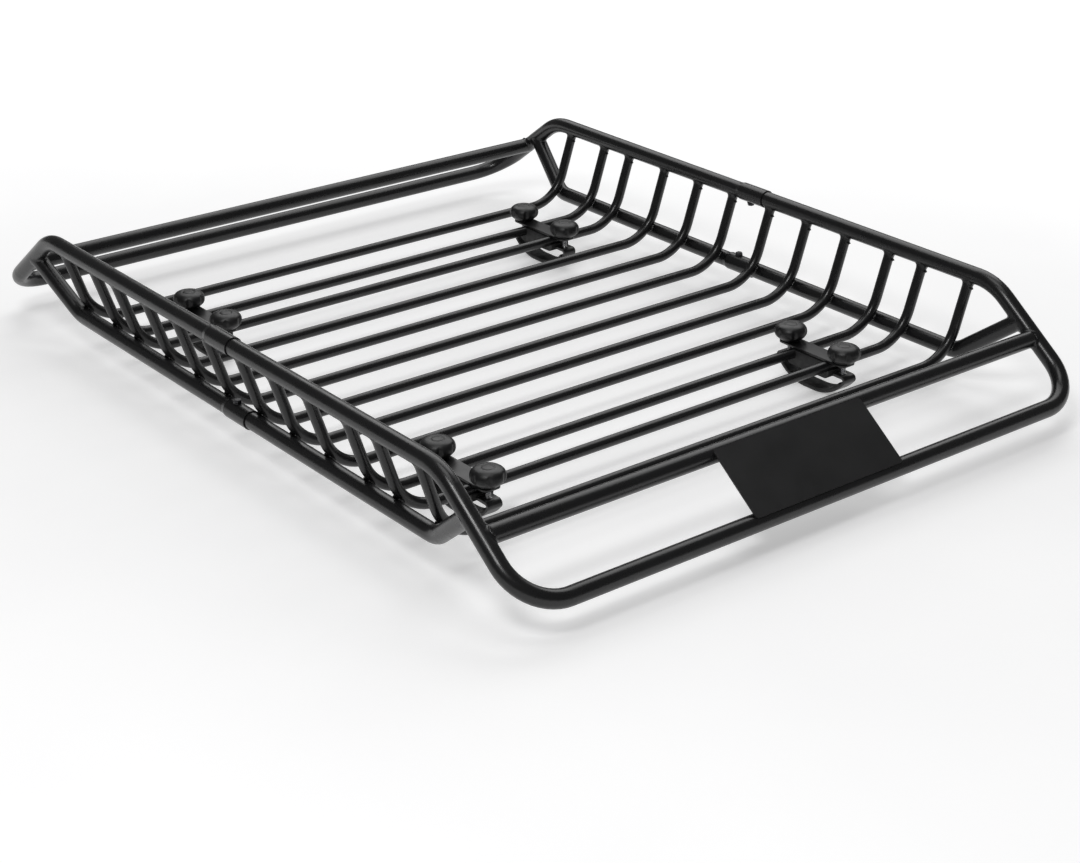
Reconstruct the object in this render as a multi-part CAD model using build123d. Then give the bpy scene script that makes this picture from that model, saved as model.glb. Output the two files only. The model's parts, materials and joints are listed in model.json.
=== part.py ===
from build123d import *
import math
import os

# Roof cargo basket for a vehicle: a two-piece frame of bent steel tube, held on the
# vehicle's crossbars by four clamps with hand knobs.
# In millimetres, +Y is the rear, away from the flat plate, and +Z is up.
# +X is the right side as seen from in front, and left and right in names follow that.
# The origin is at the centre of the basket, level with the underside of the clamp straps.

# ---- driving dimensions: tubes ----
RAIL_OD = 25.4              # rails and end bars, 1 inch tube
RAIL_WALL = 1.5
BAR_OD = 16.0               # floor bars
BAR_WALL = 1.2
WELD_GAP = 0.05             # room between tubes that a weld bead bridges

# ---- driving dimensions: frame, on tube centre lines ----
FLOOR_Z = 47.0              # floor bars
RAIL_Z = 174.5              # top rails
RAIL_X = 502.0              # half the width between the top rails
BEND_Y = 513.0              # corner where a top rail turns down into the end slope
SLOPE_RUN = 168.0           # end slope, along Y
SLOPE_DROP = 125.0          # end slope, along Z
RAIL_BEND_R = 90.0          # bend from rail to slope
CORNER_R = 66.0             # bend from slope to low end bar
END_BAR_S = 102.0           # straight end bar, measured down the slope from BEND_Y
BAR_PLACES = (44.0, 128.5, 214.5, 307.5, 374.5, 466.5)   # floor bars, mirrored front to rear
BAR_LEAN = 18.25            # degrees that a floor bar's upright leans out
BAR_BEND_R = 70.0
BAR_TOP_X = 503.5           # upright's centre line at the height of the top rail
LOWER_TOUCH = 40.4          # degrees below level where the lower rail meets a floor bar's bend
LOWER_BEND_Y = 472.0        # corner where a lower rail turns up and out to the slope
LOWER_BEND_R = 45.0
LOWER_END_S = 70.0          # where it meets the slope, measured down the slope

# ---- driving dimensions: slip joints between the halves ----
SOCKET_START_Y = 30.0       # rear half's tubes begin to widen here
SOCKET_MOUTH_Y = -32.0
SOCKET_FLARE = 8.0
SOCKET_BORE_R = RAIL_OD / 2 + 0.1
SOCKET_WALL = 1.6
INSERT_END_Y = 20.0         # front half's tube ends here, inside the socket
SPLICE_SCREW_Y = 4.0
SPLICE_SCREW_R = 3.0
SPLICE_HOLE_R = 3.3

# ---- driving dimensions: front plate, on top of the slope tubes ----
PLATE_WIDTH = 268.0
PLATE_X = -5.0              # the plate's middle
PLATE_THICK = 2.0
PLATE_CORNER_R = 5.0

# ---- driving dimensions: clamps, heights counted from the floor bars' centres ----
CLAMPS = {
    "front_left": (-344.0, -1),
    "front_right": (316.0, -1),
    "rear_left": (-332.0, 1),
    "rear_right": (336.0, 1),
}                           # X of each clamp, and its end of the basket
BOLT_Y = 56.0               # bolts stand this far each side of the clamp's centre
BOLT_R = 4.0                # M8
BOLT_TOP = 30.0
BOLT_HEAD_R = 7.5
BOLT_HEAD_H = 4.0
BOLT_NECK = 8.0             # square neck under the bolt's head
CLAMP_PLATE_X = 30.0
CLAMP_PLATE_Y = 138.0
CLAMP_PLATE_T = 3.0
CLAMP_HOLE_R = 4.3
WASHER_R = 9.5
WASHER_T = 1.6
STRAP_X = 24.0
STRAP_T = 4.0
STRAP_EAR = 9.0             # ear's middle, below the floor bars' centres
STRAP_BOTTOM = 45.0         # strap's middle at its lowest
STRAP_EAR_Y = 46.0          # ear's inner end
STRAP_CORNER_Y = 76.0       # corner where the ear turns down into the side
STRAP_FLOOR_Y = 42.0        # corner where the side turns into the floor
STRAP_CORNER_R = 5.0
STRAP_FLOOR_R = 75.0        # wide enough to make sides and floor one arc
LINER_X = 28.0
LINER_T = 3.0
LINER_TOP = 18.0
SADDLE_X = 36.0
SADDLE_Y = 88.0
SADDLE_BOTTOM = 17.0
SADDLE_SHELF = 4.0          # top of the saddle outside the floor bars
SADDLE_RISE = 6.0           # top of the saddle between the floor bars

# ---- driving dimensions: knobs ----
KNOB_R = 24.5
KNOB_FOOT_R = 17.0
KNOB_H = 24.0
KNOB_FOOT_H = 6.0
KNOB_GRIP_TOP = 15.0
KNOB_CROWN_R = 18.0         # crown's rim, and its rise above the rim
KNOB_CROWN_H = 1.8
KNOB_GAP = 0.1              # between a knob and its washer
FLUTES = 6
FLUTE_R = 9.0
FLUTE_DEPTH = 2.2
INSERT_AF = 13.0
INSERT_H = 10.0

# ---- derived places ----
rail_r = RAIL_OD / 2
bar_r = BAR_OD / 2
slope_angle = math.degrees(math.atan2(SLOPE_DROP, SLOPE_RUN))
slope_cos = math.cos(math.radians(slope_angle))
slope_sin = math.sin(math.radians(slope_angle))
low_bar_s = math.hypot(SLOPE_RUN, SLOPE_DROP)
lean_tan = math.tan(math.radians(BAR_LEAN))
bar_corner_x = BAR_TOP_X - (RAIL_Z - FLOOR_Z) * lean_tan
bar_flat_x = bar_corner_x - BAR_BEND_R * math.tan(math.radians((90 - BAR_LEAN) / 2))
touch = BAR_BEND_R + bar_r + rail_r + WELD_GAP
lower_x = bar_flat_x + touch * math.cos(math.radians(LOWER_TOUCH))
lower_z = FLOOR_Z + BAR_BEND_R - touch * math.sin(math.radians(LOWER_TOUCH))
pair_y = (BAR_PLACES[3] + BAR_PLACES[4]) / 2
pair_half = (BAR_PLACES[4] - BAR_PLACES[3]) / 2
plate_z = FLOOR_Z + bar_r + WELD_GAP
washer_z = plate_z + CLAMP_PLATE_T
knob_z = washer_z + WASHER_T + KNOB_GAP
socket_r = SOCKET_BORE_R + SOCKET_WALL

os.makedirs("parts", exist_ok=True)


def save(shape, name):
    export_step(shape, "parts/" + name + ".step")


def tube_path(points, radii):
    if len(points) == 2:
        return Line(*points)
    return FilletPolyline(*points, radius=radii)


def swept(points, radii, radius, inner=0.0):
    """A round tube, or a rod where inner is 0, along a path with bent corners."""
    path = tube_path(points, radii)
    section = Circle(radius)
    if inner:
        section = section - Circle(inner)
    return sweep(Plane(path @ 0, z_dir=path % 0) * section, path=path)


def slope_point(x, s, end, lift=0.0):
    """A point s down the end slope from its top corner, lifted square to the slope."""
    y = BEND_Y + s * slope_cos + lift * slope_sin
    z = RAIL_Z - s * slope_sin + lift * slope_cos
    return (x, end * y, z)


def slope_plane(s, end, lift=0.0):
    """A plane on the end slope: its X is the basket's X, its Z points up and out."""
    normal = (0, end * slope_sin, slope_cos)
    return Plane(slope_point(0, s, end, lift), x_dir=(1, 0, 0), z_dir=normal)


def rod_along_y(x, z, radius, half=700.0):
    """A long rod along Y, to shape a tube's end that meets a straight rail."""
    return Pos(x, 0, z) * Rot(90, 0, 0) * Cylinder(radius, 2 * half)


def slope_rods(end, radius):
    """Rods along both sides of an end slope, to shape the tube ends that meet it."""
    rods = []
    for side in (-1, 1):
        ends = (slope_point(side * RAIL_X, -60, end), slope_point(side * RAIL_X, 200, end))
        rods.append(swept(ends, None, radius))
    return rods


# ---- rails ----

def socket(x, z):
    """The widened end of a rear tube: a flare and a straight sleeve with an open mouth."""
    points = [
        (rail_r - RAIL_WALL, SOCKET_START_Y),
        (rail_r, SOCKET_START_Y),
        (socket_r, SOCKET_START_Y - SOCKET_FLARE),
        (socket_r, SOCKET_MOUTH_Y),
        (SOCKET_BORE_R, SOCKET_MOUTH_Y),
        (SOCKET_BORE_R, SOCKET_START_Y - SOCKET_FLARE - 1),
    ]
    profile = make_face(Polyline(*points, close=True))
    return Pos(x, 0, z) * revolve(profile, Axis.Y)


def splice_hole(x, z, side):
    """The hole for a splice screw, from the tube's axis out to one side, up or down."""
    reach = 2 * socket_r
    return Pos(x, SPLICE_SCREW_Y, z + side * reach / 2) * Cylinder(SPLICE_HOLE_R, reach)


def top_rail(end):
    """Half of the top rail: two side rails, their slopes and the low bar across the end."""
    start = SOCKET_START_Y if end > 0 else INSERT_END_Y
    low_z = RAIL_Z - SLOPE_DROP
    low_y = end * (BEND_Y + SLOPE_RUN)
    points = [
        (-RAIL_X, start, RAIL_Z),
        (-RAIL_X, end * BEND_Y, RAIL_Z),
        (-RAIL_X, low_y, low_z),
        (RAIL_X, low_y, low_z),
        (RAIL_X, end * BEND_Y, RAIL_Z),
        (RAIL_X, start, RAIL_Z),
    ]
    radii = (RAIL_BEND_R, CORNER_R, CORNER_R, RAIL_BEND_R)
    rail = swept(points, radii, rail_r, rail_r - RAIL_WALL)
    for side in (-1, 1):
        if end > 0:
            rail = rail + socket(side * RAIL_X, RAIL_Z)
        rail = rail - splice_hole(side * RAIL_X, RAIL_Z, -1)
    return rail


def largest(shape):
    """The largest solid of a shape, without the scraps that a cut leaves."""
    return sorted(shape.solids(), key=lambda piece: piece.volume)[-1]


def bar_line(y):
    """The corners of a floor bar's centre line."""
    return [
        (-BAR_TOP_X, y, RAIL_Z),
        (-bar_corner_x, y, FLOOR_Z),
        (bar_corner_x, y, FLOOR_Z),
        (BAR_TOP_X, y, RAIL_Z),
    ]


def lower_rail(side, end):
    """A quarter of the lower rail: straight under the floor bars' bends, then up to the slope."""
    start = SOCKET_START_Y if end > 0 else INSERT_END_Y
    x = side * lower_x
    corner = (x, end * LOWER_BEND_Y, lower_z)
    points = [(x, start, lower_z), corner, slope_point(side * RAIL_X, LOWER_END_S, end)]
    rail = swept(points, (LOWER_BEND_R,), rail_r, rail_r - RAIL_WALL)
    last_bar = bar_line(end * BAR_PLACES[-1])
    rail = rail - swept(last_bar, (BAR_BEND_R, BAR_BEND_R), bar_r + WELD_GAP)
    for rod in slope_rods(end, rail_r + WELD_GAP):
        rail = rail - rod
    rail = largest(rail)
    if end > 0:
        rail = rail + socket(x, lower_z)
    return rail - splice_hole(x, lower_z, 1)


def end_bar(end):
    """The straight bar across an end, between the two slopes."""
    ends = (slope_point(-RAIL_X, END_BAR_S, end), slope_point(RAIL_X, END_BAR_S, end))
    bar = swept(ends, None, rail_r, rail_r - RAIL_WALL)
    for rod in slope_rods(end, rail_r + WELD_GAP):
        bar = bar - rod
    return largest(bar)


def floor_bar(y):
    """A floor bar: flat across the basket, bent up at both ends to the top rails."""
    bar = swept(bar_line(y), (BAR_BEND_R, BAR_BEND_R), bar_r, bar_r - BAR_WALL)
    for side in (-1, 1):
        bar = bar - rod_along_y(side * RAIL_X, RAIL_Z, rail_r + WELD_GAP)
    return largest(bar)


def front_plate():
    """The flat plate on the front slope, from the end bar's crown to the low bar's."""
    height = low_bar_s - END_BAR_S
    middle = (low_bar_s + END_BAR_S) / 2
    outline = RectangleRounded(PLATE_WIDTH, height, PLATE_CORNER_R)
    place = slope_plane(middle, -1, rail_r + WELD_GAP) * Pos(PLATE_X, 0, 0)
    return place * extrude(outline, PLATE_THICK)


# ---- slip joint fasteners ----

def splice_screw(x, z, side):
    """A flanged hex screw. side is -1 with its head under the tube, 1 with it on top."""
    seat = socket_r - 0.15
    flange = Pos(0, 0, seat + 0.6) * Cylinder(6.2, 1.2)
    head = extrude(RegularPolygon(5.0 / math.cos(math.radians(30)), 6), 4.2)
    head = chamfer(head.edges().group_by(Axis.Z)[-1], 0.7)
    shank = Pos(0, 0, seat - 9) * Cylinder(SPLICE_SCREW_R, 18)
    screw = flange + Pos(0, 0, seat + 1.2) * head + shank
    screw = screw - Rot(90, 0, 0) * Cylinder(socket_r, 40) + shank
    turn = Rot(0, 0, 0) if side > 0 else Rot(180, 0, 0)
    return Pos(x, SPLICE_SCREW_Y, z) * turn * screw


def splice_nut(x, z, side):
    """A nut welded inside the front tube, its seat curved to the tube's bore."""
    nut = extrude(RegularPolygon(5.0 / math.cos(math.radians(30)), 6), 7.0)
    nut = Pos(0, 0, rail_r - RAIL_WALL - 7.5) * nut - Cylinder(SPLICE_SCREW_R + 0.05, 60)
    nut = nut & Rot(90, 0, 0) * Cylinder(rail_r - RAIL_WALL - 0.05, 40)
    turn = Rot(0, 0, 0) if side > 0 else Rot(180, 0, 0)
    return Pos(x, SPLICE_SCREW_Y, z) * turn * nut


def splice_places():
    """The four slip joints: X, Z and the side of the tube that the screw's head is on."""
    places = []
    for side in (-1, 1):
        places.append((side * RAIL_X, RAIL_Z, -1))
        places.append((side * lower_x, lower_z, 1))
    return places


# ---- clamps, made at a clamp's own centre with floor bar centres at Z 0 ----

def clamp_plate():
    plate = extrude(RectangleRounded(CLAMP_PLATE_X, CLAMP_PLATE_Y, 9), CLAMP_PLATE_T)
    plate = chamfer(plate.edges().group_by(Axis.Z)[-1], 0.6)
    for side in (-1, 1):
        plate = plate - Pos(0, side * BOLT_Y, 0) * Cylinder(CLAMP_HOLE_R, 20)
    return Pos(0, 0, plate_z - FLOOR_Z) * plate


def clamp_saddle():
    """The moulded block under the floor bars that sits on the vehicle's crossbar."""
    shelf_h = SADDLE_BOTTOM - SADDLE_SHELF
    shelf = Pos(0, 0, -SADDLE_BOTTOM + shelf_h / 2) * Box(SADDLE_X, SADDLE_Y, shelf_h)
    noses = shelf.edges().filter_by(Axis.X).group_by(Axis.Z)[0]
    shelf = fillet(noses, 9)
    rise_h = SADDLE_RISE + SADDLE_BOTTOM - 2
    rise = Pos(0, 0, SADDLE_RISE - rise_h / 2) * Box(SADDLE_X, 2 * pair_half, rise_h)
    saddle = shelf + rise
    for side in (-1, 1):
        groove = Rot(0, 90, 0) * Cylinder(bar_r + WELD_GAP, 2 * SADDLE_X)
        saddle = saddle - Pos(0, side * pair_half, 0) * groove
    side_edges = saddle.edges().filter_by(Axis.Y).group_by(Axis.Z)[-1]
    return chamfer(side_edges, 1.0)


def mirrored(half):
    """A path in Y and Z from one end to the middle, made whole as points at X 0."""
    other = [(-y, z) for y, z in reversed(half)]
    return [(0, y, z) for y, z in half + other]


def clamp_strap():
    half = [
        (STRAP_EAR_Y, -STRAP_EAR),
        (STRAP_CORNER_Y, -STRAP_EAR),
        (STRAP_FLOOR_Y, -STRAP_BOTTOM),
    ]
    radii = (STRAP_CORNER_R, STRAP_FLOOR_R, STRAP_FLOOR_R, STRAP_CORNER_R)
    path = FilletPolyline(*mirrored(half), radius=radii)
    section = Plane(path @ 0, x_dir=(1, 0, 0), z_dir=path % 0) * Rectangle(STRAP_X, STRAP_T)
    strap = sweep(section, path=path)
    for side in (-1, 1):
        hole = Pos(0, side * BOLT_Y, -STRAP_EAR) * Box(BOLT_NECK + 0.3, BOLT_NECK + 0.3, 12)
        strap = strap - hole
    return strap


def strap_liner():
    """The rubber strip inside the strap, along its sides and its floor."""
    offset = (STRAP_T + LINER_T) / 2 + WELD_GAP
    run = STRAP_CORNER_Y - STRAP_FLOOR_Y
    rise = STRAP_BOTTOM - STRAP_EAR
    inset = offset * math.hypot(run, rise) / rise
    floor_z = -STRAP_BOTTOM + offset
    half = []
    for z in (-LINER_TOP, floor_z):
        half.append((STRAP_FLOOR_Y + (z + STRAP_BOTTOM) * run / rise - inset, z))
    path = FilletPolyline(*mirrored(half), radius=STRAP_FLOOR_R - offset)
    section = Plane(path @ 0, x_dir=(1, 0, 0), z_dir=path % 0) * Rectangle(LINER_X, LINER_T)
    return sweep(section, path=path)


def clamp_bolt():
    """A round-headed M8 bolt with a square neck, its head under the strap's ear."""
    head_top = -STRAP_EAR - STRAP_T / 2 - WELD_GAP
    dome_r = (BOLT_HEAD_R ** 2 + BOLT_HEAD_H ** 2) / (2 * BOLT_HEAD_H)
    ball = Pos(0, 0, head_top - BOLT_HEAD_H + dome_r) * Sphere(dome_r)
    head = ball & Pos(0, 0, head_top - 10) * Cylinder(BOLT_HEAD_R, 20)
    neck = Pos(0, 0, head_top + STRAP_T / 2) * Box(BOLT_NECK, BOLT_NECK, STRAP_T)
    shank_h = BOLT_TOP - head_top
    shank = Pos(0, 0, head_top + shank_h / 2) * Cylinder(BOLT_R, shank_h)
    shank = chamfer(shank.edges().group_by(Axis.Z)[-1], 0.8)
    return head + neck + shank


# ---- knobs, made on their own axis with the underside at Z 0 ----

def knob():
    """A round knob: tapered foot, fluted grip, rounded shoulder and a domed crown."""
    side = Polyline(
        (0, 0, 0),
        (KNOB_FOOT_R, 0, 0),
        (KNOB_R - 1.2, 0, KNOB_FOOT_H),
        (KNOB_R, 0, KNOB_FOOT_H + 1.6),
        (KNOB_R - 0.4, 0, KNOB_GRIP_TOP),
    )
    shoulder_top = (KNOB_CROWN_R - 1, 0, KNOB_H - 1)
    shoulder = ThreePointArc(side @ 1, (KNOB_R - 2.4, 0, KNOB_H - 4.7), shoulder_top)
    lid = Polyline(shoulder_top, (0, 0, KNOB_H - 1), (0, 0, 0))
    body = revolve(make_face(side + shoulder + lid), Axis.Z)
    crown_r = (KNOB_CROWN_R ** 2 + KNOB_CROWN_H ** 2) / (2 * KNOB_CROWN_H)
    crown = Pos(0, 0, KNOB_H - crown_r) * Sphere(crown_r)
    core = Cylinder(KNOB_CROWN_R - 1.5, KNOB_H, align=(Align.CENTER, Align.CENTER, Align.MIN))
    shape = (body + core) & crown
    for i in range(FLUTES):
        flute = Pos(KNOB_R + FLUTE_R - FLUTE_DEPTH, 0, KNOB_H / 2) * Cylinder(FLUTE_R, 2 * KNOB_H)
        shape = shape - Rot(0, 0, i * 360 / FLUTES) * flute
    pocket_r = (INSERT_AF / 2 + 0.05) / math.cos(math.radians(30))
    pocket = extrude(RegularPolygon(pocket_r, 6), INSERT_H + 0.1)
    bore_h = BOLT_TOP + FLOOR_Z - knob_z + 1.0
    bore = Pos(0, 0, bore_h / 2) * Cylinder(BOLT_R + 0.5, bore_h)
    return shape - pocket - bore


def knob_insert():
    nut = extrude(RegularPolygon(INSERT_AF / 2 / math.cos(math.radians(30)), 6), INSERT_H)
    return nut - Cylinder(BOLT_R + 0.05, 60)


# ---- write the parts ----

for end, half in ((-1, "front"), (1, "rear")):
    save(top_rail(end), "top_rail_" + half)
    save(end_bar(end), "end_bar_" + half)
    for side, hand in ((-1, "left"), (1, "right")):
        save(lower_rail(side, end), "lower_rail_" + half + "_" + hand)

bar_places = sorted([y for y in BAR_PLACES] + [-y for y in BAR_PLACES])
for number, y in enumerate(bar_places, 1):
    save(floor_bar(y), "floor_bar_%02d" % number)

save(front_plate(), "front_plate")
save(Compound([splice_screw(*place) for place in splice_places()]), "splice_screws")
save(Compound([splice_nut(*place) for place in splice_places()]), "splice_nuts")

washers = []
for name, (x, end) in CLAMPS.items():
    place = Pos(x, end * pair_y, FLOOR_Z)
    save(place * clamp_plate(), "clamp_plate_" + name)
    save(place * clamp_saddle(), "clamp_saddle_" + name)
    save(place * clamp_strap(), "clamp_strap_" + name)
    save(place * strap_liner(), "strap_liner_" + name)
    bolts = [Pos(0, side * BOLT_Y, 0) * clamp_bolt() for side in (-1, 1)]
    save(place * Compound(bolts), "clamp_bolts_" + name)
    for side, which in ((-1, "fore"), (1, "aft")):
        centre_y = end * pair_y + side * BOLT_Y
        save(Pos(x, centre_y, knob_z) * knob(), "knob_" + name + "_" + which)
        save(Pos(x, centre_y, knob_z) * knob_insert(), "knob_insert_" + name + "_" + which)
        ring = Cylinder(WASHER_R, WASHER_T) - Cylinder(CLAMP_HOLE_R, 10)
        washers.append(Pos(x, centre_y, washer_z + WASHER_T / 2) * ring)
save(Compound(washers), "knob_washers")
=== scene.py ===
import json
import math
import random

import bpy
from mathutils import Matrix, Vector


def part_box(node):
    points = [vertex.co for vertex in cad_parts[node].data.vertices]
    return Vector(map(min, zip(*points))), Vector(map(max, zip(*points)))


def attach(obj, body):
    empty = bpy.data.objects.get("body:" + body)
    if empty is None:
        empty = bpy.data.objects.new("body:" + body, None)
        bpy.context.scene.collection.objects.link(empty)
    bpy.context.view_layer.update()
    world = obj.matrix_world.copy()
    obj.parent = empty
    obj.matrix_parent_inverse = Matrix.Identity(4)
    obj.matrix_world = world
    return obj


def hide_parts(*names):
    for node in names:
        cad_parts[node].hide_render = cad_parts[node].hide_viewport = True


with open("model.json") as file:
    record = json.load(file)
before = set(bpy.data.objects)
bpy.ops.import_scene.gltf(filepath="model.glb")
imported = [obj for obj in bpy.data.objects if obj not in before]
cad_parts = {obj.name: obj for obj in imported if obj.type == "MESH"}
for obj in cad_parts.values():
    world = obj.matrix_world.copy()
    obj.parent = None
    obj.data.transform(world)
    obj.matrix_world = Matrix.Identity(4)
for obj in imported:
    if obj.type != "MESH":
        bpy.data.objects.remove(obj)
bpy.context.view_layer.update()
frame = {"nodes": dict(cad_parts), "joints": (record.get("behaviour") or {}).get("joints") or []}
scene = bpy.context.scene
nodes = frame["nodes"]

CLAMPS = ("front_left", "front_right", "rear_left", "rear_right")
MM = 0.001

# ---- sizes and places, read from the frame ----


def middle(node):
    low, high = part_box(node)
    return (low + high) / 2


def size(node):
    low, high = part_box(node)
    return high - low


rail_r = size("end_bar_front").z / 2
bar_r = size("floor_bar_01").y / 2
rail_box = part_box("top_rail_front")
rail_x = rail_box[1].x - rail_r
rail_z = rail_box[1].z - rail_r
low_bar_z = rail_box[0].z + rail_r
low_bar_y = abs(rail_box[0].y) - rail_r
end_bar_y = abs(middle("end_bar_front").y)
end_bar_z = middle("end_bar_front").z
floor_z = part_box("floor_bar_01")[0].z + bar_r
slope = Vector((0, low_bar_y - end_bar_y, low_bar_z - end_bar_z)).normalized()
bar_places = [middle("floor_bar_%02d" % number).y for number in range(1, 13)]
knob_joints = {joint["child"]: Vector(joint["pos_m"])
               for joint in frame["joints"] if joint["type"] == "hinge"}

# sizes that the boxes don't hold, the same as in the part
BAR_LEAN = math.radians(18.25)
BAR_BEND_R = 70 * MM
BAR_TOP_X = 503.5 * MM
LOWER_TOUCH = math.radians(40.4)    # where a bend rests on the lower rail, below level
LOWER_BEND_Y = 472 * MM
LOWER_END_UP = 32 * MM              # where a lower rail meets the slope, up from the end bar
bar_corner_x = BAR_TOP_X - (rail_z - floor_z) * math.tan(BAR_LEAN)
bar_flat_x = bar_corner_x - BAR_BEND_R * math.tan((math.pi / 2 - BAR_LEAN) / 2)
touch = BAR_BEND_R + bar_r + rail_r
lower_x = bar_flat_x + touch * math.cos(LOWER_TOUCH)
lower_z = floor_z + BAR_BEND_R - touch * math.sin(LOWER_TOUCH)

# ---- node materials ----


class Nodes:
    """A material's node tree, with short calls to add and link nodes."""

    def __init__(self, name):
        self.material = bpy.data.materials.new(name)
        self.material.use_nodes = True
        self.tree = self.material.node_tree
        self.shader = self.tree.nodes["Principled BSDF"]

    def add(self, kind, **settings):
        node = self.tree.nodes.new("ShaderNode" + kind)
        for key, value in settings.items():
            setattr(node, key, value)
        return node

    def link(self, source, target):
        self.tree.links.new(source, target)

    def place(self, scale=(1, 1, 1)):
        """Object coordinates in metres, stretched by scale."""
        coords = self.add("TexCoord")
        mapping = self.add("Mapping")
        mapping.inputs["Scale"].default_value = scale
        self.link(coords.outputs["Object"], mapping.inputs["Vector"])
        return mapping.outputs["Vector"]

    def noise(self, scale, detail=2.0, rough=0.5, stretch=(1, 1, 1)):
        noise = self.add("TexNoise")
        noise.inputs["Scale"].default_value = scale
        noise.inputs["Detail"].default_value = detail
        noise.inputs["Roughness"].default_value = rough
        self.link(self.place(stretch), noise.inputs["Vector"])
        return noise.outputs["Fac"]

    def spread(self, value, low, high, start=0.3, end=0.7):
        """Maps a noise value to a range for a socket."""
        remap = self.add("MapRange")
        self.link(value, remap.inputs["Value"])
        remap.inputs["From Min"].default_value = start
        remap.inputs["From Max"].default_value = end
        remap.inputs["To Min"].default_value = low
        remap.inputs["To Max"].default_value = high
        return remap.outputs["Result"]

    def colours(self, value, dark, light, start=0.3, end=0.7):
        ramp = self.add("ValToRGB")
        ramp.color_ramp.elements[0].position = start
        ramp.color_ramp.elements[0].color = (*dark, 1)
        ramp.color_ramp.elements[1].position = end
        ramp.color_ramp.elements[1].color = (*light, 1)
        self.link(value, ramp.inputs["Fac"])
        self.link(ramp.outputs["Color"], self.shader.inputs["Base Color"])

    def bump(self, value, height, strength=1.0, below=None):
        """A bump of a real height in metres, on top of the bump below."""
        bump = self.add("Bump")
        bump.inputs["Strength"].default_value = strength
        bump.inputs["Distance"].default_value = height
        self.link(value, bump.inputs["Height"])
        if below:
            self.link(below, bump.inputs["Normal"])
        self.link(bump.outputs["Normal"], self.shader.inputs["Normal"])
        return bump.outputs["Normal"]


def powder_coat(name, dark, light, rough_low, rough_high):
    """Baked black coat on steel: a fine orange peel, specks and slow changes of gloss."""
    m = Nodes(name)
    cloud = m.noise(9, detail=3)
    m.colours(cloud, dark, light)
    gloss = m.spread(m.noise(26, detail=4), rough_low, rough_high)
    m.link(gloss, m.shader.inputs["Roughness"])
    peel = m.bump(m.noise(620, detail=1.5), 0.05 * MM, 0.5)
    m.bump(m.noise(2600, detail=2), 0.02 * MM, 0.5, peel)
    m.shader.inputs["Specular IOR Level"].default_value = 0.5
    return m.material


def knob_nylon():
    """Moulded nylon with a spark-eroded grain."""
    m = Nodes("knob_nylon")
    m.colours(m.noise(40, detail=4), (0.0045, 0.0045, 0.0049), (0.0070, 0.0070, 0.0075))
    m.link(m.spread(m.noise(90), 0.36, 0.46), m.shader.inputs["Roughness"])
    grain = m.bump(m.noise(1900, detail=3, rough=0.6), 0.05 * MM, 0.55)
    m.bump(m.noise(140, detail=2), 0.06 * MM, 0.3, grain)
    m.shader.inputs["Specular IOR Level"].default_value = 0.5
    return m.material


def moulded_rubber():
    m = Nodes("moulded_rubber")
    m.colours(m.noise(55, detail=5), (0.010, 0.010, 0.010), (0.018, 0.018, 0.018))
    m.link(m.spread(m.noise(120, detail=3), 0.55, 0.75), m.shader.inputs["Roughness"])
    m.bump(m.noise(900, detail=3, rough=0.65), 0.06 * MM, 0.6)
    m.shader.inputs["Specular IOR Level"].default_value = 0.4
    return m.material


def bright_zinc():
    """Zinc plating: metallic, softly mottled, with fine drawn lines."""
    m = Nodes("bright_zinc")
    m.colours(m.noise(300, detail=4), (0.52, 0.53, 0.56), (0.72, 0.72, 0.71))
    m.shader.inputs["Metallic"].default_value = 1.0
    m.link(m.spread(m.noise(420, detail=3), 0.2, 0.38), m.shader.inputs["Roughness"])
    m.bump(m.noise(1500, detail=2, stretch=(1, 1, 0.1)), 0.02 * MM, 0.5)
    return m.material


def black_zinc():
    """Black zinc plating on the splice screws: a dark metal with a soft sheen."""
    m = Nodes("black_zinc")
    m.colours(m.noise(260, detail=4), (0.030, 0.030, 0.032), (0.055, 0.055, 0.058))
    m.shader.inputs["Metallic"].default_value = 1.0
    m.link(m.spread(m.noise(380, detail=3), 0.3, 0.45), m.shader.inputs["Roughness"])
    m.bump(m.noise(1500, detail=2), 0.02 * MM, 0.5)
    return m.material


def floor_paint():
    """Matte white that glows a little, more with distance, so that the far floor stays white."""
    m = Nodes("studio_floor")
    m.colours(m.noise(2.2, detail=4), (0.79, 0.79, 0.795), (0.83, 0.83, 0.832))
    m.shader.inputs["Roughness"].default_value = 0.9
    m.shader.inputs["Specular IOR Level"].default_value = 0.1
    distance = m.add("VectorMath", operation="LENGTH")
    m.link(m.place(), distance.inputs[0])
    glow = m.spread(distance.outputs["Value"], 0.34, 0.92, 0.8, 4.5)
    m.link(glow, m.shader.inputs["Emission Strength"])
    m.shader.inputs["Emission Color"].default_value = (1, 1, 1, 1)
    return m.material


tube_coat = powder_coat(
    "tube_coat", (0.0060, 0.0060, 0.0064), (0.0085, 0.0085, 0.0090), 0.24, 0.31)
plate_coat = powder_coat(
    "plate_coat", (0.0075, 0.0075, 0.0080), (0.0100, 0.0100, 0.0105), 0.40, 0.50)
clamp_coat = powder_coat(
    "clamp_coat", (0.0050, 0.0050, 0.0054), (0.0075, 0.0075, 0.0080), 0.30, 0.40)
nylon = knob_nylon()
rubber = moulded_rubber()
zinc = bright_zinc()
dark_zinc = black_zinc()

NODE_MATERIALS = (
    ("top_rail", tube_coat),
    ("end_bar", tube_coat),
    ("lower_rail", tube_coat),
    ("floor_bar", tube_coat),
    ("front_plate", plate_coat),
    ("splice", dark_zinc),
    ("knob_washers", zinc),
    ("knob_insert", zinc),
    ("knob", nylon),
    ("clamp_plate", clamp_coat),
    ("clamp_strap", clamp_coat),
    ("clamp_bolts", zinc),
    ("clamp_saddle", rubber),
    ("strap_liner", rubber),
)


def coat_cad_nodes():
    for name, node in nodes.items():
        material = next(look for start, look in NODE_MATERIALS if name.startswith(start))
        for material_slot in node.material_slots:
            material_slot.material = material


# ---- mesh helpers ----


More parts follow.
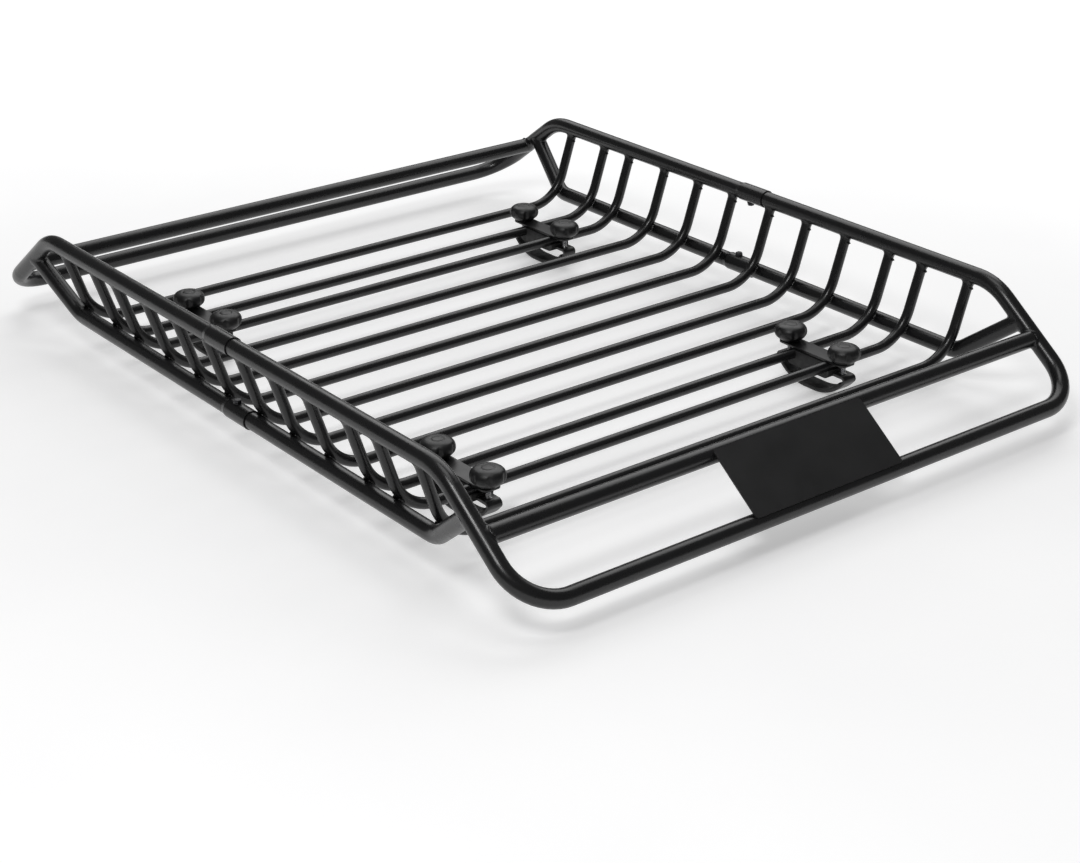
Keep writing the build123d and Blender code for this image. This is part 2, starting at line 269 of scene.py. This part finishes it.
def add_piece(name, vertices, faces, material, body, slot):
    """A smooth-shaded mesh piece that rides on a body."""
    mesh = bpy.data.meshes.new(name)
    mesh.from_pydata([tuple(v) for v in vertices], [], faces)
    mesh.update()
    mesh.validate()
    for polygon in mesh.polygons:
        polygon.use_smooth = True
    piece = bpy.data.objects.new(name, mesh)
    scene.collection.objects.link(piece)
    mesh.materials.append(material)
    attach(piece, body)
    return piece


def crease(piece, degrees=35):
    """Keeps edges sharper than an angle crisp in a smooth-shaded piece."""
    piece.data.set_sharp_from_angle(angle=math.radians(degrees))


def circle(centre, radius, height, count):
    """The points of a level circle, a height above its centre."""
    points = []
    for k in range(count):
        angle = math.tau * k / count
        points.append(centre + Vector((radius * math.cos(angle), radius * math.sin(angle), height)))
    return points


def ring_grid(rings, closed=False):
    """Faces between rings of equal length; closed joins the last ring to the first."""
    count = len(rings[0])
    vertices = [v for ring in rings for v in ring]
    faces = []
    last = len(rings) if closed else len(rings) - 1
    for i in range(last):
        a = i * count
        b = (i + 1) % len(rings) * count
        for k in range(count):
            n = (k + 1) % count
            faces.append((a + k, a + n, b + n, b + k))
    return vertices, faces


def capped(rings):
    """Rings joined to a closed skin with a face at each end."""
    vertices, faces = ring_grid(rings)
    count = len(rings[0])
    faces.append(tuple(range(count))[::-1])
    faces.append(tuple(range(len(vertices) - count, len(vertices))))
    return vertices, faces


def join(parts):
    """Several (vertices, faces) pairs as one."""
    vertices = []
    faces = []
    for part_vertices, part_faces in parts:
        start = len(vertices)
        vertices += part_vertices
        faces += [tuple(start + index for index in face) for face in part_faces]
    return vertices, faces


# ---- weld beads ----

BEAD_SIDES = 10
RIPPLE_PITCH = 2.6 * MM
WELD_SIDES = 60
WELD_STEPS = 8
WELD_GAP = 0.15 * MM            # keeps a weld's skin just outside the tube it runs around
RAIL_GAP = 0.1 * MM
TUBE_RUN = 50 * MM              # how far back from a joint a tube's line starts
BAR_RUN = 60 * MM


def bead(points, radius, closed, dice, flatten=0.8):
    """A weld bead along points: a rounded ridge with the ripples of a stepped weld."""
    count = len(points)
    rings = []
    travelled = 0.0
    phase = dice.uniform(0, math.tau)
    for i, point in enumerate(points):
        ahead = points[(i + 1) % count] if closed else points[min(i + 1, count - 1)]
        behind = points[i - 1] if closed else points[max(i - 1, 0)]
        tangent = (ahead - behind).normalized()
        if i:
            travelled += (point - points[i - 1]).length
        wave = 1 + 0.11 * math.cos(math.tau * travelled / RIPPLE_PITCH + phase)
        r = radius * wave * dice.uniform(0.95, 1.05)
        if not closed:
            r *= math.sqrt(max(0.04, 1 - (2 * i / (count - 1) - 1) ** 6))
        side = tangent.orthogonal().normalized()
        if abs(tangent.z) < 0.98:
            side = tangent.cross(Vector((0, 0, 1))).normalized()
        up = side.cross(tangent)
        ring = []
        for k in range(BEAD_SIDES):
            angle = math.tau * k / BEAD_SIDES
            sideways = side * (r * math.cos(angle))
            upward = up * (r * flatten * math.sin(angle))
            ring.append(point + sideways + upward)
        rings.append(ring)
    return ring_grid(rings, closed=True) if closed else capped(rings)


def junction(centre, direction, radii, rail_point, rail_dir, rail_radius, count):
    """The closed line where a tube's outside meets a rail's outside. radii go across and along."""
    direction = direction.normalized()
    across = direction.cross(rail_dir).normalized()
    along = direction.cross(across).normalized()
    points = []
    for k in range(count):
        angle = math.tau * k / count
        sideways = across * (radii[0] * math.cos(angle))
        start = centre + sideways + along * (radii[1] * math.sin(angle))
        offset = start - rail_point
        flat = offset - rail_dir * offset.dot(rail_dir)
        flat_dir = direction - rail_dir * direction.dot(rail_dir)
        a = flat_dir.dot(flat_dir)
        b = flat.dot(flat_dir)
        c = flat.dot(flat) - rail_radius ** 2
        root = math.sqrt(max(0.0, b * b - a * c))
        points.append(start + direction * ((-b - root) / a))
    return points


def fillet_weld(centre, direction, tube_radius, rail_point, rail_dir, widths, height, dice):
    """A concave weld around a tube's end: it runs up the tube and spreads over the rail."""
    direction = direction.normalized()
    phases = [dice.uniform(0, math.tau) for _ in range(3)]
    radius = tube_radius + WELD_GAP
    rings = []
    for step in range(WELD_STEPS + 1):
        angle = math.pi / 2 * step / WELD_STEPS
        grow = 1 - math.cos(angle)
        drop = height * (1 - math.sin(angle))
        radii = (radius + widths[0] * grow, radius + widths[1] * grow)
        line = junction(centre, direction, radii, rail_point, rail_dir, rail_r + RAIL_GAP, WELD_SIDES)
        swell = 0.10 * MM * math.sin(math.pi * step / WELD_STEPS)
        ring = []
        for k, point in enumerate(line):
            turn = math.tau * k / WELD_SIDES
            sway = 1 + 0.16 * math.sin(2 * turn + phases[0]) + 0.09 * math.sin(5 * turn + phases[1])
            ripple = swell * math.sin(24 * turn + phases[2])
            ring.append(point - direction * (drop * sway + ripple))
        rings.append(ring)
    return ring_grid(rings)


def bar_top_welds(side, name):
    """The welds where each floor bar's upright meets the top rail, each with a small run of spatter."""
    dice = random.Random(11 + side)
    lean = Vector((side * math.sin(BAR_LEAN), 0, math.cos(BAR_LEAN)))
    parts = []
    for y in bar_places:
        foot = Vector((side * bar_corner_x, y, floor_z)) + lean * BAR_RUN
        rail = Vector((side * rail_x, y, rail_z))
        parts.append(fillet_weld(foot, lean, bar_r, rail, Vector((0, 1, 0)),
                                 (1.6 * MM, 5.5 * MM), 6.0 * MM, dice))
        top = foot + lean * (((rail_z - rail_r) - foot.z) / lean.z)
        drop = dice.uniform(7.0, 9.5) * MM
        out = bar_r + 1.5 * MM
        spot = top - lean * drop + Vector((0, -out, 0))
        half_run = lean * (2.2 * MM)
        blob = [spot + half_run, spot + Vector((0, -0.5 * MM, 0)), spot - half_run]
        parts.append(bead(blob, dice.uniform(2.2, 2.9) * MM, False, dice))
    add_piece(name, *join(parts), tube_coat, "frame", "frame_steel")


def lower_rail_welds(side, name):
    """Two short fillets at each place where a floor bar's bend rests on the lower rail."""
    dice = random.Random(23 + side)
    out = Vector((side * math.cos(LOWER_TOUCH), 0, -math.sin(LOWER_TOUCH)))
    tangent = Vector((side * math.sin(LOWER_TOUCH), 0, math.cos(LOWER_TOUCH)))
    reach = 5.6 * MM
    rise = bar_r - math.sqrt(bar_r ** 2 - reach ** 2)
    parts = []
    for y in bar_places:
        bend = Vector((side * bar_flat_x, y, floor_z + BAR_BEND_R))
        contact = bend + out * (BAR_BEND_R + bar_r)
        for fore in (-1, 1):
            line = []
            for step in range(-7, 8):
                travel = step * 1.0 * MM
                drop = rail_r - math.sqrt(rail_r ** 2 - travel ** 2)
                aside = Vector((0, fore * reach, 0))
                line.append(contact + tangent * travel + aside + out * ((drop - rise) / 2))
            parts.append(bead(line, 2.6 * MM, False, dice))
    add_piece(name, *join(parts), tube_coat, "frame", "frame_steel")


def end_bar_welds(end, name):
    """The welds where an end bar meets the two slope tubes, with the end of the last bead on top."""
    dice = random.Random(37 + end)
    along = Vector((0, end * slope.y, slope.z))
    up = Vector((0, -end * slope.z, slope.y))
    parts = []
    for side in (-1, 1):
        start = Vector((side * (rail_x - TUBE_RUN), end * end_bar_y, end_bar_z))
        rail = Vector((side * rail_x, end * end_bar_y, end_bar_z))
        outward = Vector((side, 0, 0))
        parts.append(fillet_weld(start, outward, rail_r, rail, along,
                                 (0.3 * MM, 6.0 * MM), 4.0 * MM, dice))
        crown = rail - outward * (rail_r * 0.62) + up * (rail_r * 0.95)
        run = []
        for step in range(-5, 6):
            bow = -outward * (0.10 * step * step * MM)
            run.append(crown + along * (step * 1.5 * MM) + bow)
        parts.append(bead(run, 2.2 * MM, False, dice, flatten=0.6))
    add_piece(name, *join(parts), tube_coat, "frame", "frame_steel")


STITCH_PLACES = (-0.095, -0.032, 0.032, 0.095)


def plate_welds():
    """Stitches under the front plate, along the end bar and the low bar."""
    dice = random.Random(41)
    normal = Vector((0, slope.z, slope.y)).normalized()
    down = Vector((0, -slope.y, slope.z))
    parts = []
    for y, z, inward in ((end_bar_y, end_bar_z, 1), (low_bar_y, low_bar_z, -1)):
        crown = Vector((0, -y, z)) + normal * rail_r
        for x in STITCH_PLACES:
            line = []
            for step in range(-9, 10):
                place = crown + down * (inward * 5.5 * MM) - normal * (0.9 * MM)
                line.append(place + Vector((x + step * 1.0 * MM, 0, 0)))
            parts.append(bead(line, 1.6 * MM, False, dice))
    add_piece("plate_welds", *join(parts), tube_coat, "frame", "frame_steel")


def lower_end_welds():
    """The welds where each lower rail's end meets the slope tube."""
    dice = random.Random(53)
    parts = []
    for end in (-1, 1):
        along = Vector((0, end * slope.y, slope.z))
        for side in (-1, 1):
            bar_end = Vector((side * rail_x, end * end_bar_y, end_bar_z))
            slope_end = bar_end - along * LOWER_END_UP
            corner = Vector((side * lower_x, end * LOWER_BEND_Y, lower_z))
            rise = (slope_end - corner).normalized()
            parts.append(fillet_weld(slope_end - rise * TUBE_RUN, rise, rail_r, slope_end, along,
                                     (0.3 * MM, 5.5 * MM), 4.0 * MM, dice))
    add_piece("lower_end_welds", *join(parts), tube_coat, "frame", "frame_steel")


# ---- knobs ----

KNOB_LOBES = 6
KNOB_TURN = 128
KNOB_BORE = 10.2                # radius, in mm like the rest of the knob's sizes
KNOB_BORE_DEPTH = 9.0
KNOB_HEIGHT = 25.05
KNOB_RADIUS = 25.0
FLUTE_DEPTH = 2.7
FLUTE_SOFTNESS = 0.35
KNOB_PROFILE = (                # radius and height, from the underside to the crown
    (KNOB_BORE, 0.0), (15.0, 0.0), (16.2, 0.3), (17.0, 1.0), (19.6, 3.2), (21.8, 5.2),
    (23.5, 7.2), (24.4, 9.2), (24.9, 11.4), (24.9, 13.6), (24.5, 15.8), (23.7, 17.9),
    (22.4, 19.9), (20.7, 21.6), (18.6, 22.9), (16.2, 23.7), (13.8, 24.2), (11.6, 24.5),
    (10.4, 24.55), (9.9, 24.4), (9.3, 24.1), (8.7, 24.1), (8.1, 24.45), (7.4, 24.75),
    (5.0, 24.95), (2.4, KNOB_HEIGHT),
)


def knob_radius(radius, angle):
    """A knob's radius in mm: the profile, cut by upright rounded flutes that run out on the shoulder."""
    wave = math.cos(KNOB_LOBES * angle)
    cut = max(0.0, (wave - 0.2) / 0.8) ** 1.2
    flute = KNOB_RADIUS - FLUTE_DEPTH * cut
    return (radius + flute - math.sqrt((radius - flute) ** 2 + FLUTE_SOFTNESS ** 2)) / 2


def knob_mesh(centre):
    """A fluted knob from its underside to its crown, with a blind bore from below."""
    rings = []
    for radius, height in KNOB_PROFILE:
        ring = []
        for k in range(KNOB_TURN):
            angle = math.tau * k / KNOB_TURN
            r = knob_radius(radius, angle) * MM
            ring.append(centre + Vector((r * math.cos(angle), r * math.sin(angle), height * MM)))
        rings.append(ring)
    vertices, faces = ring_grid(rings)
    top = len(vertices)
    vertices.append(centre + Vector((0, 0, KNOB_HEIGHT * MM)))
    last = top - KNOB_TURN
    faces += [(last + k, last + (k + 1) % KNOB_TURN, top) for k in range(KNOB_TURN)]
    bore = [circle(centre, KNOB_BORE * MM, height * MM, KNOB_TURN) for height in (KNOB_BORE_DEPTH, 0.0)]
    bore_vertices, bore_faces = ring_grid(bore)
    bore_faces.append(tuple(range(KNOB_TURN)))
    return join([(vertices, faces), (bore_vertices, bore_faces)])


def knobs():
    for clamp in CLAMPS:
        for which in ("fore", "aft"):
            node = "knob_%s_%s" % (clamp, which)
            mesh = knob_mesh(knob_joints[node])
            piece = add_piece("detailed_" + node, *mesh, nylon, node, "knob_plastic")
            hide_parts(node)


# ---- bolts with real threads ----

THREAD_PITCH = 1.25 * MM
THREAD_DEPTH = 0.55 * MM
THREAD_STEPS = 20
BOLT_RADIUS = 4 * MM
HEAD_RADIUS = 7.4 * MM
HEAD_HEIGHT = 3.9 * MM
HEAD_SIDES = 40
EAR_RISE = 4 * MM               # from the foot of a bolt to the flat side of its head
NECK_CORNERS = ((-4, -4), (4, -4), (4, 4), (-4, 4))


def thread(centre, radius, bottom, top):
    """An M8 thread as a closed skin between two heights: a helical ridge on a rod."""
    rings = []
    level_count = int((top - bottom) / THREAD_PITCH * 8)
    for level in range(level_count + 1):
        z = bottom + (top - bottom) * level / level_count
        ring = []
        for k in range(THREAD_STEPS):
            angle = math.tau * k / THREAD_STEPS
            turn = z / THREAD_PITCH - k / THREAD_STEPS
            ridge = abs(2 * (turn - math.floor(turn)) - 1)
            fade = min(1.0, (z - bottom) / THREAD_PITCH, (top - z) / THREAD_PITCH + 0.3)
            r = radius - THREAD_DEPTH * (1 - ridge * fade)
            ring.append(centre + Vector((r * math.cos(angle), r * math.sin(angle), z)))
        rings.append(ring)
    return capped(rings)


def carriage_head(centre, radius, height, top):
    """A shallow domed head, its flat side up, under a square neck."""
    rings = []
    for step in range(9):
        angle = math.pi / 2 * step / 8
        r = radius * math.sin(max(angle, 0.05))
        rings.append(circle(centre, r, top - height * math.cos(angle), HEAD_SIDES))
    return capped(rings)


def bolts():
    for clamp in CLAMPS:
        parts = []
        node = "clamp_bolts_" + clamp
        low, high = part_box(node)
        ear_low = low.z + EAR_RISE
        for which in ("fore", "aft"):
            joint = knob_joints["knob_%s_%s" % (clamp, which)]
            axis = Vector((joint.x, joint.y, 0))
            parts.append(thread(axis, BOLT_RADIUS, ear_low + 4 * MM, high.z))
            parts.append(carriage_head(axis, HEAD_RADIUS, HEAD_HEIGHT, ear_low))
            neck = []
            for z in (ear_low - 0.2 * MM, ear_low + 4.3 * MM):
                neck.append([axis + Vector((x * MM, y * MM, z)) for x, y in NECK_CORNERS])
            parts.append(capped(neck))
        piece = add_piece("threaded_" + node, *join(parts), zinc, "strap_" + clamp, "zinc_hardware")
        crease(piece, 50)
        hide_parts(node)


# ---- floor, lights, camera ----


def studio():
    """A wide pale floor."""
    reach = 30.0
    corners = ((-reach, -reach), (reach, -reach), (reach, reach), (-reach, reach))
    vertices = [(x, y, -0.4 * MM) for x, y in corners]
    mesh = bpy.data.meshes.new("studio_floor")
    mesh.from_pydata(vertices, [], [(0, 1, 2, 3)])
    mesh.materials.append(floor_paint())
    floor = bpy.data.objects.new("studio_floor", mesh)
    scene.collection.objects.link(floor)


def area_light(name, place, target, width, height, power):
    light = bpy.data.lights.new(name, "AREA")
    light.shape = "RECTANGLE"
    light.size = width
    light.size_y = height
    light.energy = power
    lamp = bpy.data.objects.new(name, light)
    lamp.location = place
    lamp.rotation_euler = (Vector(target) - Vector(place)).to_track_quat("-Z", "Y").to_euler()
    scene.collection.objects.link(lamp)


def lights():
    world = bpy.data.worlds.new("studio")
    world.use_nodes = True
    background = world.node_tree.nodes["Background"]
    background.inputs["Color"].default_value = (1, 1, 1, 1)
    background.inputs["Strength"].default_value = 0.12
    scene.world = world
    area_light("key_box", (-1.65, -1.25, 2.5), (0, 0, 0.1), 0.75, 0.75, 26)
    area_light("rear_right_box", (1.9, 1.7, 2.7), (0, 0, 0.1), 4.0, 3.0, 70)
    area_light("overhead_box", (-0.2, -0.1, 5.0), (0, 0, 0), 2.4, 2.4, 40)
    scene.view_settings.view_transform = "Standard"


def camera():
    azimuth = math.radians(-38.37)
    elevation = math.radians(24.96)
    data = bpy.data.cameras.new("camera")
    data.sensor_fit = "HORIZONTAL"
    data.sensor_width = 36.0
    data.lens = 71.55
    data.clip_end = 60
    eye = bpy.data.objects.new("camera", data)
    eye.location = (-1.8518, -2.4109, 1.3059)
    eye.rotation_euler = (math.pi / 2 - elevation, 0, azimuth)
    scene.collection.objects.link(eye)
    scene.camera = eye


# ---- build ----

coat_cad_nodes()
for side, hand in ((-1, "left"), (1, "right")):
    bar_top_welds(side, "bar_top_welds_" + hand)
    lower_rail_welds(side, "lower_rail_welds_" + hand)
for end, half in ((-1, "front"), (1, "rear")):
    end_bar_welds(end, "end_bar_welds_" + half)
plate_welds()
lower_end_welds()
knobs()
bolts()
studio()
lights()
camera()
